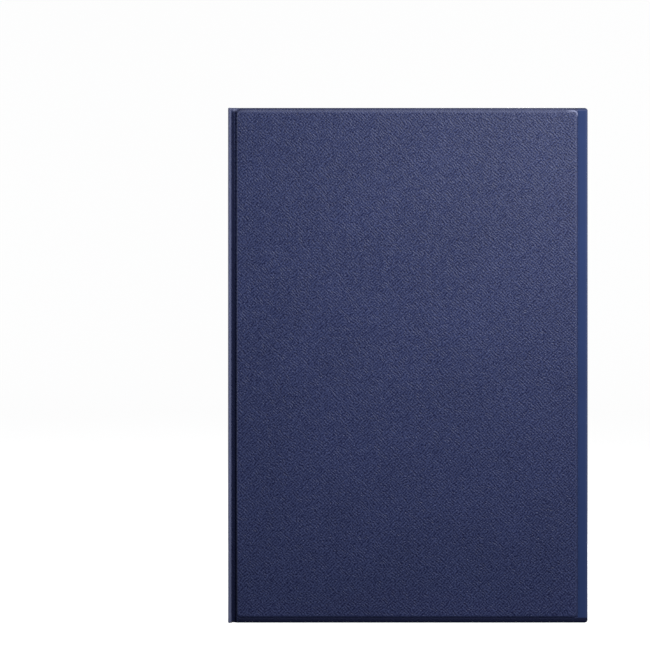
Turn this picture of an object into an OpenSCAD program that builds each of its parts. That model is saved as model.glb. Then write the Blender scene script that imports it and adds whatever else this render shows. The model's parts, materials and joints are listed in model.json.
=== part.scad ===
// Tablet keyboard case (folio), closed and standing upright on its short edge.
// +Z runs along the spine, +X from the spine to the free edge, the front cover faces -Y
// and the back cover faces +Y. The origin is the middle of the footprint, on the ground.

/* [Overall] */
// width, from the spine to the free edge
case_w = 175.7; // [168:0.1:184]
// height along the spine
case_h = 251.6; // [246:0.1:262]
// thickness when closed
case_t = 19.4; // [18.6:0.1:22]

/* [Covers] */
// outer leather
skin_t = 0.8; // [0.6:0.1:1]
// stiffening board in each panel
board_t = 1.0; // [0.8:0.1:1.2]
// microfibre lining
lining_t = 0.6; // [0.4:0.1:0.8]
// how far the stitched-down border lies below the raised panels
border_drop = 0.6; // [0.3:0.1:0.7]
// width of the flat border along the free edge
free_border = 4.9; // [3:0.1:7]
// height of the border at the foot of the front panel
foot_border = 2.7; // [2:0.1:5]
// height of the border above the front panel
top_border = 1.2; // [1:0.1:4]
// radius of the front panel's corners
front_corner_r = 2; // [1:0.5:5]
// radius of the kickstand flap's corners
flap_corner_r = 3; // [1:0.5:5]

/* [Spine and folds] */
// radius of the bead along the front fold
front_bead_r = 0.75; // [0.6:0.05:0.9]
// width of the groove between that bead and the front panel
groove_w = 2.6; // [2:0.1:4]
// outer radius of the rounded back fold
back_bend_r = 2.5; // [2:0.1:3]
// width of the kickstand flap's raised panel
flap_w = 49.9; // [40:0.1:56]
// width of the soft crease beside it
crease_w = 11; // [8:0.1:14]
// how much taller the flap is than the rest
flap_extra = 0.7; // [0:0.1:1]

/* [Tablet shell] */
// tablet's long side
tablet_l = 245; // [240:0.5:247]
// tablet's short side
tablet_w = 160; // [156:0.5:161]
// tablet's thickness
tablet_t = 5.5; // [5:0.1:6]
// clearance all round it
tablet_gap = 0.3; // [0.1:0.1:0.5]
// wall of the shell
shell_wall = 1.2; // [1:0.1:1.4]
// back plate of the shell
shell_plate = 1.2; // [1:0.1:1.4]
// camera window, across and along the spine
camera_win = [12, 26]; // [6:1:40]

/* [Keyboard] */
// keyboard's length, along the spine
kb_l = 240; // [236:0.5:242]
// keyboard's depth
kb_w = 112; // [110:0.5:114]
// thickness of its case, without the keys
kb_t = 4.8; // [4.6:0.1:5]
// how far the keys stand above the deck
key_rise = 1.2; // [0.8:0.1:1.3]
// key travel
key_travel = 1.5; // [1:0.1:1.5]
// pitch of one key unit
key_u = 15.2; // [14.6:0.1:15.2]
// pitch of the five main rows
row_p = 15.4; // [14.6:0.1:15.4]
// gap between two keycaps
key_gap = 1.9; // [1.5:0.1:2.5]

/* [Hidden] */
xl = -case_w / 2;
xr = case_w / 2;
yf = -case_t / 2;
yb = case_t / 2;
cover_t = skin_t + board_t + lining_t;
// front cover, from outside in
fy1 = yf + border_drop;
fy2 = yf + skin_t;
fy3 = fy2 + board_t;
fy4 = fy3 + lining_t;
// back cover, from inside out
by4 = yb - cover_t;
by3 = by4 + lining_t;
by2 = by3 + board_t;
by1 = yb - border_drop;
// fold axes, all along Z
front_ax = [xl + front_bead_r, yf + front_bead_r];
back_ax = [xl + back_bend_r, yb - back_bend_r];
panel_x0 = front_ax[0] + front_bead_r + 0.05 + groove_w;
panel_x1 = xr - free_border;
flap_x0 = back_ax[0] + back_bend_r + 0.05;
flap_x1 = flap_x0 + flap_w - 0.05;
main_x0 = flap_x1 + crease_w;
main_x1 = xr - free_border - 0.25;
crease_ax = [(flap_x1 + main_x0) / 2, by3 + 0.2];
crease_r = 0.45;
crease_t = 0.6;
spine_y0 = front_ax[1] + front_bead_r + 0.6;
spine_y1 = back_ax[1] - 0.3;
spine_board_gap = 3;
back_foot = 3.3;
back_head = 1.5;
inset = 0.8;
// tablet shell
sy1 = by4 - 0.3;
sy0 = sy1 - shell_plate;
lip_t = 0.7;
sy_lip = sy0 - tablet_t;
bay_x1 = main_x1 - 0.9;
bay_x0 = bay_x1 - tablet_w - 2 * tablet_gap;
bay_z0 = case_h / 2 - tablet_l / 2 - tablet_gap;
bay_z1 = case_h / 2 + tablet_l / 2 + tablet_gap;
shx0 = bay_x0 - shell_wall;
shx1 = bay_x1 + shell_wall + 0.2;
shz0 = bay_z0 - shell_wall;
shz1 = bay_z1 + shell_wall;
cam_x = 69;
cam_z = 227;
// keyboard: u to the typist's right, v away from the typist, w up from its underside
kx1 = main_x1 - 0.7;
kz1 = case_h / 2 + kb_l / 2;
ky0 = fy4 + 0.4;
floor_t = 0.8;
kwall = 1.4;
deck_t = 1.0;
deck_w0 = kb_t - deck_t;
cap_w0 = kb_t - 0.6;
plunger_w0 = cap_w0 - 0.5;
dome_top = plunger_w0 - key_travel - 0.05;
key_v0 = 6.5;
key_u0 = (kb_l - 15 * key_u) / 2;
fn_row_h = 10.5;
// key widths in units, from the space row to the function row
rows = [
    [1.25, 1, 1, 1.25, 5.5, 1, 1, 1, 1, 1],
    [2.25, 1, 1, 1, 1, 1, 1, 1, 1, 1, 1, 1, 1.75],
    [1.75, 1, 1, 1, 1, 1, 1, 1, 1, 1, 1, 1, 2.25],
    [1.5, 1, 1, 1, 1, 1, 1, 1, 1, 1, 1, 1, 1, 1.5],
    [1, 1, 1, 1, 1, 1, 1, 1, 1, 1, 1, 1, 1, 2],
    [for (i = [1:14]) 15 / 14]
];
function row_v(r) = key_v0 + r * row_p;
function row_h(r) = r < 5 ? row_p : fn_row_h;
function start(r, i) = i == 0 ? 0 : rows[r][i - 1] + start(r, i - 1);
boss_at = [for (u = [4.4, kb_l / 2, kb_l - 4.4], v = [3.3, kb_w - 3.5]) [u, v]];
disc_d = 12;
disc_w0 = 0.15;
magnet_at = [for (u = [44, 196], v = [26, 76]) [u, v]];
led_at = [30, 36, 42];
led_v = 103;
led_d = 1.8;
kb_corner_r = 5;
sheet_margin = 6;
// bar magnets in the front cover, and the ridge that stops the tablet
magnet_w = 4;
magnet_l = 24;
magnet_z = [42, case_h / 2, case_h - 42];
closure_x0 = panel_x1 - inset - magnet_w - 1;
ridge_x0 = kx1 - kb_w - 6.2;
ridge_x1 = kx1 - kb_w - 1.4;
ridge_h = 2;
stand_x0 = ridge_x0 - magnet_w - 1.8;

leather = [0.23, 0.25, 0.38];
fabric = [0.30, 0.31, 0.35];
board_c = [0.72, 0.68, 0.60];
shell_c = [0.10, 0.11, 0.15];
plastic_c = [0.08, 0.08, 0.09];
key_c = [0.12, 0.12, 0.13];
metal_c = [0.70, 0.71, 0.73];

function polar(c, r, a) = [c[0] + r * cos(a), c[1] + r * sin(a)];
function arc(c, r, a0, a1, n) = [for (i = [0:n]) polar(c, r, a0 + (a1 - a0) * i / n)];
// rounded rectangle with a radius for each corner, from the lower left anticlockwise
function rr4(x0, z0, x1, z1, r, n = 4) = concat(
    arc([x0 + r[0], z0 + r[0]], r[0], 180, 270, n),
    arc([x1 - r[1], z0 + r[1]], r[1], 270, 360, n),
    arc([x1 - r[2], z1 - r[2]], r[2], 0, 90, n),
    arc([x0 + r[3], z1 - r[3]], r[3], 90, 180, n));
function rr(x0, z0, x1, z1, r, n = 4) = rr4(x0, z0, x1, z1, [r, r, r, r], n);

// a flat shape drawn in X and Z, standing between two Y planes
module sheet_y(y0, y1) translate([0, y1, 0]) rotate([90, 0, 0]) linear_extrude(y1 - y0) children();
module block(x0, x1, y0, y1, z0, z1) translate([x0, y0, z0]) cube([x1 - x0, y1 - y0, z1 - z0]);
// keyboard coordinates to the case's
module kb() multmatrix([[0, -1, 0, kx1], [0, 0, 1, ky0], [-1, 0, 0, kz1], [0, 0, 0, 1]]) children();
module camera_cut(grow) sheet_y(sy0 - 1, yb + 1)
    polygon(rr(cam_x - camera_win[0] / 2 - grow, cam_z - camera_win[1] / 2 - grow,
               cam_x + camera_win[0] / 2 + grow, cam_z + camera_win[1] / 2 + grow, 4 + grow, 5));

// ---- spine ----
// one leather strip: the bead, the flat of the spine, and the rounded fold at the back
module spine_skin() color(leather) linear_extrude(case_h)
    polygon(concat(
        arc(front_ax, front_bead_r, acos((skin_t - front_bead_r) / front_bead_r), -180, 12),
        arc(back_ax, back_bend_r, 180, 10, 12),
        arc(back_ax, back_bend_r - skin_t, 10, 180, 12)));
module spine_board() color(board_c)
    block(xl + skin_t, xl + skin_t + board_t, spine_y0, spine_y1, spine_board_gap, case_h - spine_board_gap);
module spine_lining() color(fabric)
    block(xl + skin_t + board_t, xl + cover_t, spine_y0, spine_y1, inset, case_h - inset);

// ---- kickstand flap ----
module flap_skin() color(leather) difference() {
    union() {
        sheet_y(by3, by1) polygon(rr(flap_x0, 0, flap_x1, case_h + flap_extra, 0.8, 3));
        sheet_y(by1 - 0.1, yb) polygon(rr4(flap_x0, back_foot, flap_x1, case_h + flap_extra - 0.8,
            [1.2, flap_corner_r, flap_corner_r, 1.2], 5));
        block(flap_x1 - 0.4, crease_ax[0] - crease_r - 0.05, by3, by3 + crease_t, 0.6, case_h - 0.2);
    }
    flap_board_block(0.1);
}
module flap_board_block(below) block(flap_x0 + inset, flap_x1 - inset, by3 - below, by2,
    back_foot + inset, case_h + flap_extra - 2 * inset);
module flap_board() color(board_c) flap_board_block(0);
module flap_lining() color(fabric)
    block(flap_x0, crease_ax[0] - crease_r - 0.1, by4, by3, inset, case_h - inset);

// ---- back panel ----
module back_skin() color(leather) difference() {
    union() {
        sheet_y(by3, by1) polygon(rr4(main_x0, 0, xr, case_h, [0.4, 1.5, 1.5, 0.4], 4));
        sheet_y(by1 - 0.1, yb) polygon(rr(main_x0, back_foot, main_x1, case_h - back_head, 2, 5));
        block(crease_ax[0] + 0.2, main_x0 + 0.4, by3, by3 + crease_t, 0.6, case_h - 0.2);
        translate([crease_ax[0], crease_ax[1], 0.6]) cylinder(r = crease_r, h = case_h - 0.8, $fn = 12);
    }
    back_board_block(0.1);
    camera_cut(0);
}
module back_board_block(below) block(main_x0 + inset, main_x1 - inset, by3 - below, by2,
    back_foot + inset, case_h - back_head - inset);
module back_board() color(board_c) difference() {
    back_board_block(0);
    camera_cut(0);
}
module back_lining() color(fabric) difference() {
    block(crease_ax[0] + crease_r + 0.1, xr - 0.6, by4, by3, inset, case_h - inset);
    camera_cut(0);
}

// ---- tablet shell ----
// openings in the shell's edges stay clear of its lip and its plate
port_y0 = sy_lip + 1;
port_y1 = sy0 - 1.2;
speaker_w = 18;
// a lip over one corner of the tablet, and its mirror images
lip_outline = [
    [-0.2, -0.2], [16, -0.2], [16, 1.6], [7, 1.9],
    [1.9, 7], [1.6, 16], [-0.2, 16]
];
module shell_adhesive() color([0.85, 0.85, 0.82]) difference() {
    block(main_x0 + 2, main_x1 - 3, sy1, by4, 8, case_h - 8);
    camera_cut(1);
}
module corner_lip(x, z, sx, sz) translate([x, 0, z]) mirror([sx, 0, 0]) mirror([0, 0, sz])
    sheet_y(sy_lip - lip_t, sy_lip) polygon(lip_outline);
module tablet_shell() color(shell_c) difference() {
    union() {
        difference() {
            sheet_y(sy_lip - lip_t, sy1) polygon(rr(shx0, shz0, shx1, shz1, 8, 6));
            sheet_y(sy_lip - lip_t - 1, sy0) polygon(rr(bay_x0, bay_z0, bay_x1, bay_z1, 7, 6));
        }
        intersection() {
            union() {
                corner_lip(bay_x0, bay_z0, 0, 0);
                corner_lip(bay_x1, bay_z0, 1, 0);
                corner_lip(bay_x0, bay_z1, 0, 1);
                corner_lip(bay_x1, bay_z1, 1, 1);
            }
            sheet_y(sy_lip - lip_t, sy_lip) polygon(rr(shx0 + 0.1, shz0 + 0.1, shx1 - 0.1, shz1 - 0.1, 8, 6));
        }
    }
    camera_cut(0);
    // slanted relief along the edge that swings past the front lining
    translate([shx0, sy_lip - lip_t, 0]) rotate([0, 0, 45]) block(-1.1, 1.1, -1.1, 1.1, -1, case_h + 1);
    // buttons on the free edge, port, speakers and headphone socket on the short edges
    block(bay_x1 - 1, shx1 + 1, port_y0, port_y1, case_h - 55.6, case_h - 13.6);
    block(-7, 7, port_y0, port_y1, shz0 - 1, bay_z0 + 1);
    for (x = [-64, 48], z = [shz0 - 1, bay_z1 - 1])
        block(x, x + speaker_w, port_y0, port_y1, z, z + shell_wall + 2);
    translate([20, (sy_lip + sy0) / 2, bay_z1 - 1]) cylinder(d = 3.6, h = 5, $fn = 32);
}
module shell_steel_strip() color(metal_c)
    block(shx1, shx1 + 0.4, sy_lip + 0.7, sy0 - 0.8, 40, case_h - 65.6);

// ---- front cover ----
module front_skin() color(leather) difference() {
    union() {
        sheet_y(fy1, fy3) polygon(rr4(panel_x0 - 0.1, 0, xr, case_h, [0.4, 1.5, 1.5, 0.4], 4));
        sheet_y(yf, fy1 + 0.1)
            polygon(rr(panel_x0, foot_border, panel_x1, case_h - top_border, front_corner_r, 5));
        block(panel_x0 - groove_w, panel_x0 + 0.3, yf + 0.7, yf + 0.7 + skin_t, 0.3, case_h - 0.3);
    }
    front_board_block(0.1);
}
module front_board_block(above) block(panel_x0 + inset, panel_x1 - inset, fy2, fy3 + above,
    foot_border + inset, case_h - top_border - inset);
module bar_magnets(x0) for (z = magnet_z)
    block(x0, x0 + magnet_w, fy2 + 0.2, fy3, z - magnet_l / 2, z + magnet_l / 2);
module steel_plate_shape() block(kx1 - 92, kx1 - 18, fy3 - 0.5, fy3, 34, case_h - 34);
module closure_magnets() color(metal_c) bar_magnets(closure_x0);
module stand_magnets() color(metal_c) bar_magnets(stand_x0);
module keyboard_steel_plate() color(metal_c) steel_plate_shape();
module front_board() color(board_c) difference() {
    front_board_block(0);
    bar_magnets(closure_x0);
    bar_magnets(stand_x0);
    steel_plate_shape();
}
module front_lining() color(fabric)
    block(panel_x0 + 0.1, xr - 0.6, fy3, fy4, inset, case_h - inset);
module stop_ridge() color(fabric) translate([0, 0, 24]) linear_extrude(case_h - 48) polygon([
    [ridge_x0, fy4], [ridge_x1, fy4], [ridge_x1 - 0.2, fy4 + 1.1],
    [ridge_x1 - 1.2, fy4 + ridge_h], [ridge_x0 + 1.2, fy4 + ridge_h], [ridge_x0 + 0.2, fy4 + 1.1]
]);

// ---- keyboard case ----
module keyboard_outline(wall) polygon(rr(wall, wall, kb_l - wall, kb_w - wall, kb_corner_r - wall, 6));
module keyboard_base() color(plastic_c) kb() difference() {
    union() {
        difference() {
            linear_extrude(deck_w0) keyboard_outline(0);
            translate([0, 0, floor_t]) linear_extrude(kb_t) keyboard_outline(kwall);
        }
        for (b = boss_at) translate([b[0], b[1], floor_t - 0.1]) cylinder(d = 3, h = 2.3, $fn = 24);
    }
    for (b = boss_at) translate([b[0], b[1], -1]) {
        cylinder(d = 1.1, h = 6, $fn = 24);
        cylinder(d = 2.5, h = 1.6, $fn = 24);
    }
    for (m = magnet_at) translate([m[0], m[1], disc_w0]) cylinder(d = disc_d, h = 2, $fn = 48);
    // charging socket and switch slot in the left-hand end
    translate([-1, 98.1, 1.5]) cube([3, 7.8, 3]);
    translate([-1, 83.6, 1.3]) cube([3, 5.8, 1.8]);
}
module cap_outline(r, i, grow) {
    u0 = key_u0 + start(r, i) * key_u + key_gap / 2 - grow;
    v0 = row_v(r) + key_gap / 2 - grow;
    u1 = key_u0 + (start(r, i) + rows[r][i]) * key_u - key_gap / 2 + grow;
    v1 = row_v(r) + row_h(r) - key_gap / 2 + grow;
    if (grow > 0) translate([u0, v0]) square([u1 - u0, v1 - v0]);
    else polygon(rr(u0, v0, u1, v1, 1.4, 2));
}
module keyboard_deck() color(plastic_c) kb() {
    translate([0, 0, deck_w0]) linear_extrude(deck_t) difference() {
        keyboard_outline(0);
        for (r = [0:5], i = [0:len(rows[r]) - 1]) cap_outline(r, i, 0.35);
        for (u = led_at) translate([u, led_v]) circle(d = led_d, $fn = 24);
    }
    for (b = boss_at) translate([b[0], b[1], 3.02]) difference() {
        cylinder(d = 3, h = deck_w0 - 3.02 + 0.1, $fn = 24);
        translate([0, 0, -1]) cylinder(d = 0.9, h = 1.7, $fn = 24);
    }
}
// the sheets that lie under the keys, from the floor up
module key_sheet(w, t) translate([sheet_margin, 5.2, w]) cube([kb_l - 2 * sheet_margin, 90.6, t]);
module at_key(r, i, w)
    translate([key_u0 + (start(r, i) + rows[r][i] / 2) * key_u, row_v(r) + row_h(r) / 2, w]) children();
module backplate() color(metal_c) kb() key_sheet(floor_t, 0.5);
module membrane() color([0.75, 0.80, 0.78]) kb() {
    key_sheet(1.3, 0.3);
    translate([38, 95.7, 1.3]) cube([14, 0.9, 0.3]);
}
module dome_sheet() color([0.62, 0.64, 0.66]) kb() {
    key_sheet(1.6, 0.3);
    for (r = [0:5], i = [0:len(rows[r]) - 1])
        at_key(r, i, 1.8) cylinder(d1 = 5, d2 = 3.6, h = dome_top - 1.8, $fn = 24);
}
module keyboard_pcb() color([0.05, 0.30, 0.18]) kb() {
    translate([6.3, 97, 1.0]) cube([63.7, 12.2, 0.6]);
    translate([1.6, 98.3, 1.0]) cube([4.8, 7.4, 0.6]);
}
module pcb_chips() color([0.06, 0.06, 0.07]) kb() {
    translate([55, 99.5, 1.6]) cube([7, 7, 0.9]);
    translate([14, 100, 1.6]) cube([5, 4, 0.8]);
    translate([22, 105, 1.6]) cube([3, 2, 0.8]);
    for (u = led_at) translate([u - led_d / 2, led_v - 0.6, 1.6]) cube([led_d, 1.2, 0.8]);
}
module battery() color([0.75, 0.75, 0.78]) kb() translate([126, 97, 0.8]) linear_extrude(2.7)
    polygon(rr(0, 0, 90, 12.4, 1, 3));
module battery_leads() color([0.7, 0.1, 0.08]) kb() for (v = [100, 102])
    translate([67, v, 2.0]) rotate([0, 90, 0]) cylinder(r = 0.4, h = 59, $fn = 16);
module membrane_tail() color([0.80, 0.82, 0.80]) kb() translate([39, 95.9, 1.6]) cube([12, 3.6, 0.2]);
module usb_socket() color(metal_c) kb() difference() {
    translate([0.1, 98.3, 1.6]) cube([5.8, 7.4, 2.05]);
    translate([-1, 98.6, 1.9]) cube([5.9, 6.8, 1.45]);
}
module switch_body() color(plastic_c) kb() difference() {
    translate([1.45, 82, 0.9]) cube([3.9, 9, 2.6]);
    translate([1, 83.4, 1.2]) cube([2.1, 6.2, 2]);
}
module switch_knob() color(metal_c) kb() {
    translate([-0.6, 84, 1.5]) cube([3.4, 3, 1.4]);
}
module indicator_lights() color([0.75, 0.85, 0.80]) kb() for (u = led_at)
    translate([u, led_v, 2.5]) cylinder(d = led_d, h = kb_t - 2.5, $fn = 24);
module keyboard_magnets() color(metal_c) kb() for (m = magnet_at)
    translate([m[0], m[1], disc_w0]) cylinder(d = disc_d, h = floor_t - disc_w0, $fn = 48);
module keyboard_screws() color(metal_c) kb() for (b = boss_at) translate([b[0], b[1], 0.02]) difference() {
    union() {
        cylinder(d = 2.4, h = 0.57, $fn = 24);
        cylinder(d = 0.9, h = 3.6, $fn = 24);
    }
    for (a = [0, 90]) rotate([0, 0, a]) translate([-0.6, -0.15, -0.1]) cube([1.2, 0.3, 0.35]);
}
module keyboard_feet() color([0.05, 0.05, 0.05]) kb() for (u = [12, kb_l - 12], v = [11, kb_w - 11])
    translate([u, v, -0.4]) cylinder(d = 9, h = 0.4, $fn = 48);
// stabiliser wire under the space bar
module space_wire() color(metal_c) kb() at_key(0, 4, 2.25) {
    translate([-32, 4, 0]) rotate([0, 90, 0]) cylinder(r = 0.3, h = 64, $fn = 16);
    for (s = [-1, 1]) translate([s * 31.7, -2, 0]) rotate([-90, 0, 0]) cylinder(r = 0.3, h = 6, $fn = 16);
}

// ---- keys ----
module key(r, i) kb() {
    translate([0, 0, cap_w0]) linear_extrude(kb_t + key_rise - cap_w0) cap_outline(r, i, 0);
    at_key(r, i, plunger_w0) translate([-1.5, -1.5, 0]) cube([3, 3, 0.6]);
}
module keys(r, list) color(key_c) for (i = list) key(r, i);
module row_space() keys(0, [0, 1, 2, 3, 5, 6]);
module row_shift() keys(1, [1:10]);
module row_home() keys(2, [1:11]);
module row_top() keys(3, [1:13]);
module row_number() keys(4, [0:12]);
module row_function() keys(5, [1:13]);
module key_space() keys(0, [4]);
module key_left_shift() keys(1, [0]);
module key_right_shift() keys(1, [12]);
module key_caps() keys(2, [0]);
module key_enter() keys(2, [12]);
module key_tab() keys(3, [0]);
module key_backspace() keys(4, [13]);
module key_escape() keys(5, [0]);
module key_up() keys(1, [11]);
module key_left() keys(0, [7]);
module key_down() keys(0, [8]);
module key_right() keys(0, [9]);

spine_skin();
spine_board();
spine_lining();
flap_skin();
flap_board();
flap_lining();
back_skin();
back_board();
back_lining();
shell_adhesive();
tablet_shell();
shell_steel_strip();
front_skin();
front_board();
front_lining();
closure_magnets();
stand_magnets();
keyboard_steel_plate();
stop_ridge();
keyboard_base();
keyboard_deck();
backplate();
membrane();
dome_sheet();
keyboard_pcb();
pcb_chips();
battery();
battery_leads();
membrane_tail();
usb_socket();
switch_body();
switch_knob();
indicator_lights();
keyboard_magnets();
keyboard_screws();
keyboard_feet();
space_wire();
row_space();
row_shift();
row_home();
row_top();
row_number();
row_function();
key_space();
key_left_shift();
key_right_shift();
key_caps();
key_enter();
key_tab();
key_backspace();
key_escape();
key_up();
key_left();
key_down();
key_right();
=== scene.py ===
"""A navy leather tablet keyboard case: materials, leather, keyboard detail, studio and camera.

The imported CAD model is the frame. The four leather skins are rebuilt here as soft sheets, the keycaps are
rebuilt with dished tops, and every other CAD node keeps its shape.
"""
import json
import math

import bmesh
import bpy
import numpy as np
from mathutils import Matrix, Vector


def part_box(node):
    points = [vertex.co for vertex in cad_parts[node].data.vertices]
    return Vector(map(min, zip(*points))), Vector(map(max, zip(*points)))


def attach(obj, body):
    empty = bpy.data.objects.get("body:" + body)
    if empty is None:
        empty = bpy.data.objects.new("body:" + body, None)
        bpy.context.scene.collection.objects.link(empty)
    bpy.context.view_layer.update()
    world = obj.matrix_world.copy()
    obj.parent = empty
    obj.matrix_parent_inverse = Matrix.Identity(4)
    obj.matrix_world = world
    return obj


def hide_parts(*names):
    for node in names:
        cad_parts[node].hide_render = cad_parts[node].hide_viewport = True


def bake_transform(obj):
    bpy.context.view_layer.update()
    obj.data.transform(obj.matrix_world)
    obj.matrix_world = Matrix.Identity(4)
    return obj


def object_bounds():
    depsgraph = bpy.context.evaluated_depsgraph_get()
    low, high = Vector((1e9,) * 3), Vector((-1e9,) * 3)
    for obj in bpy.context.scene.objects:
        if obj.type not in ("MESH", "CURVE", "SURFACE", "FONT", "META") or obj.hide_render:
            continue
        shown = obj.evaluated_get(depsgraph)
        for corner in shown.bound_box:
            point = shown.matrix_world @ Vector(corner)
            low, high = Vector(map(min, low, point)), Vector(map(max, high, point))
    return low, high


MM = 0.001
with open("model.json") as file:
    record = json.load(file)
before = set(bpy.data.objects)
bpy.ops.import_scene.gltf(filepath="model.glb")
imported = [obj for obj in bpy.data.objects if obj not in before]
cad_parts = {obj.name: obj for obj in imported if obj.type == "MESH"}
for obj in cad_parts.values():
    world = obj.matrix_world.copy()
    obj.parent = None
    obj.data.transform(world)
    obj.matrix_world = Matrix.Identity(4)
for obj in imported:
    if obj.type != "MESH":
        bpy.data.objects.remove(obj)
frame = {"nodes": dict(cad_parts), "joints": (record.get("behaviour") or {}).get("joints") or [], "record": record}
NODES = frame["nodes"]
cad_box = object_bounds()


# ---------------------------------------------------------------- places, all from the frame
def top_of(node):
    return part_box(node)[1][2]


def joint_place(name):
    joint = next(j for j in frame["joints"] if j["name"] == name)
    return np.array(joint["pos_m"], float)


X0, X1 = cad_box[0][0], cad_box[1][0]
Y_FRONT, Y_BACK = cad_box[0][1], cad_box[1][1]
Z_TOP = top_of("front_skin")
Z_FLAP = top_of("flap_skin")
TURN = 0.8 * MM  # leather's thickness, and how far a panel reaches past its board
BORDER_DROP = 0.6 * MM  # how far the borders lie below the raised panels
FRONT_AXIS = joint_place("front_fold")
BACK_AXIS = joint_place("spine_fold")
BEAD_R = FRONT_AXIS[0] - X0
BEND_R = 4.5 * MM
EDGE_R = 0.55 * MM
GROOVE_DEPTH = 1.3 * MM
ROLL_REACH, ROLL_DEPTH = 2.4 * MM, 0.95 * MM
PRESSED, PRESSED_WIDTH = 0.2 * MM, 0.5 * MM  # the line pressed round each raised panel
SHOULDER = 0.9 * MM  # width of a raised panel's rounded edge
COVER_CORNER = 1.5 * MM
FRONT_CORNER, FLAP_CORNER, MAIN_CORNER = 2 * MM, 3.5 * MM, 2.5 * MM  # of the raised panels
UNEVEN = 0.03 * MM  # height of the gentle waves in the leather
OVER_BOARD = 1.8 * MM  # from a cover's outer face to its leather's inner face
FINE, COARSE = 0.2 * MM, 4 * MM  # spacing of grid lines at turned edges and on flat leather
WINDOW_CORNER = 4 * MM


def panel_of(board):
    """The raised panel over a board: x0, z0, x1, z1."""
    low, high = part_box(board)
    return low[0] - TURN, low[2] - TURN, high[0] + TURN, high[2] + TURN


FRONT_PANEL = panel_of("front_board")
FLAP_PANEL = panel_of("flap_board")
MAIN_PANEL = panel_of("back_board")


# ---------------------------------------------------------------- small mesh tools
def mesh_object(name, verts, faces, smooth=True):
    mesh = bpy.data.meshes.new(name)
    mesh.from_pydata([tuple(map(float, v)) for v in verts], [], [tuple(map(int, f)) for f in faces])
    mesh.update()
    obj = bpy.data.objects.new(name, mesh)
    bpy.context.scene.collection.objects.link(obj)
    if smooth:
        mesh.polygons.foreach_set("use_smooth", [True] * len(mesh.polygons))
    return obj


def face_outwards(obj):
    bm = bmesh.new()
    bm.from_mesh(obj.data)
    bmesh.ops.recalc_face_normals(bm, faces=bm.faces)
    bm.to_mesh(obj.data)
    bm.free()


def steps(*stretches):
    """Grid lines: each stretch is (from, to, spacing), in metres."""
    lines = []
    for start, end, spacing in stretches:
        count = max(1, round((end - start) / spacing))
        lines += list(np.linspace(start, end, count + 1))
    lines = sorted(lines)
    return np.array([v for i, v in enumerate(lines) if i == 0 or v - lines[i - 1] > 1e-6])


def edge_lines(width):
    """Distances from a rounded edge, close together where it turns."""
    turn = [0, 0.03, 0.09, 0.18, 0.30, 0.42, 0.55]
    return np.concatenate([np.array(turn) * MM, np.arange(0.7 * MM, width, FINE)])


def smoothstep(t):
    t = np.clip(t, 0, 1)
    return t * t * (3 - 2 * t)


def inside_distance(x, z, rect, radius):
    """How far a point lies inside a rounded rectangle: negative outside."""
    x0, z0, x1, z1 = rect
    qx = np.abs(x - (x0 + x1) / 2) - (x1 - x0) / 2 + radius
    qz = np.abs(z - (z0 + z1) / 2) - (z1 - z0) / 2 + radius
    outside = np.hypot(np.maximum(qx, 0), np.maximum(qz, 0))
    return radius - outside - np.minimum(np.maximum(qx, qz), 0)


def shoulder(distance):
    """0 outside a raised panel, 1 on top of it, with a rounded edge and a small fillet at its foot."""
    t = np.clip(distance / SHOULDER, 0, 1)
    rounded = np.sqrt(np.clip(1 - (1 - t) ** 2, 0, 1))
    return rounded * smoothstep(distance / (0.25 * SHOULDER))


def edge_drop(distance, reach=EDGE_R, depth=EDGE_R):
    """How far a surface falls away where it turns round an edge, as a quarter of an ellipse."""
    t = np.clip(1 - distance / reach, 0, 1)
    return depth * (1 - np.sqrt(1 - t * t))


def round_corner(x, z, corner, radius, signs):
    """Bends a square corner of the grid into a quarter circle. signs say which way the corner points."""
    a = np.clip(((x - corner[0]) * signs[0] + radius) / radius, 0, 1)
    b = np.clip(((z - corner[1]) * signs[1] + radius) / radius, 0, 1)
    inside = (a > 0) & (b > 0)
    new_x = corner[0] + signs[0] * radius * (a * np.sqrt(1 - b * b / 2) - 1)
    new_z = corner[1] + signs[1] * radius * (b * np.sqrt(1 - a * a / 2) - 1)
    return np.where(inside, new_x, x), np.where(inside, new_z, z)


def rounded_ring(x0, x1, z0, z1, radius, sides=6):
    """Points round a rectangle with rounded corners, anticlockwise in x and z."""
    ring = []
    for cx, cz, turn in ((x1 - radius, z1 - radius, 0), (x0 + radius, z1 - radius, 90),
                         (x0 + radius, z0 + radius, 180), (x1 - radius, z0 + radius, 270)):
        for k in range(sides + 1):
            a = math.radians(turn + 90 * k / sides)
            ring.append((cx + radius * math.cos(a), cz + radius * math.sin(a)))
    return ring


def waves(x, z, size, seed):
    """Gentle unevenness, about -1 to 1, from a few crossed sine waves."""
    rng = np.random.default_rng(seed)
    count, turn = 6, 6.28
    angles = rng.uniform(0, turn, count)
    phases = rng.uniform(0, turn, count)
    lengths = size * rng.uniform(0.7, 1.5, count)
    total = np.zeros(np.broadcast(x, z).shape)
    for angle, phase, length in zip(angles, phases, lengths):
        along = x * math.cos(angle) + z * math.sin(angle)
        total = total + np.sin(along * turn / length + phase)
    return total / count


def slab(name, outer, inner):
    """A closed sheet from two grids of points, outer and inner, joined round their rims."""
    rows, cols = outer.shape[:2]
    count = rows * cols
    verts = np.concatenate([outer.reshape(-1, 3), inner.reshape(-1, 3)])
    index = np.arange(count).reshape(rows, cols)
    quads = np.stack([index[:-1, :-1], index[1:, :-1], index[1:, 1:], index[:-1, 1:]], -1).reshape(-1, 4)
    rim = np.concatenate([index[:, 0], index[-1, 1:], index[-2::-1, -1], index[0, -2:0:-1]])
    after = np.roll(rim, -1)
    walls = np.stack([rim, after, after + count, rim + count], -1)
    faces = np.concatenate([quads, (quads + count)[:, ::-1], walls[:, ::-1]])
    obj = mesh_object(name, verts, faces)
    face_outwards(obj)
    return obj


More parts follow.
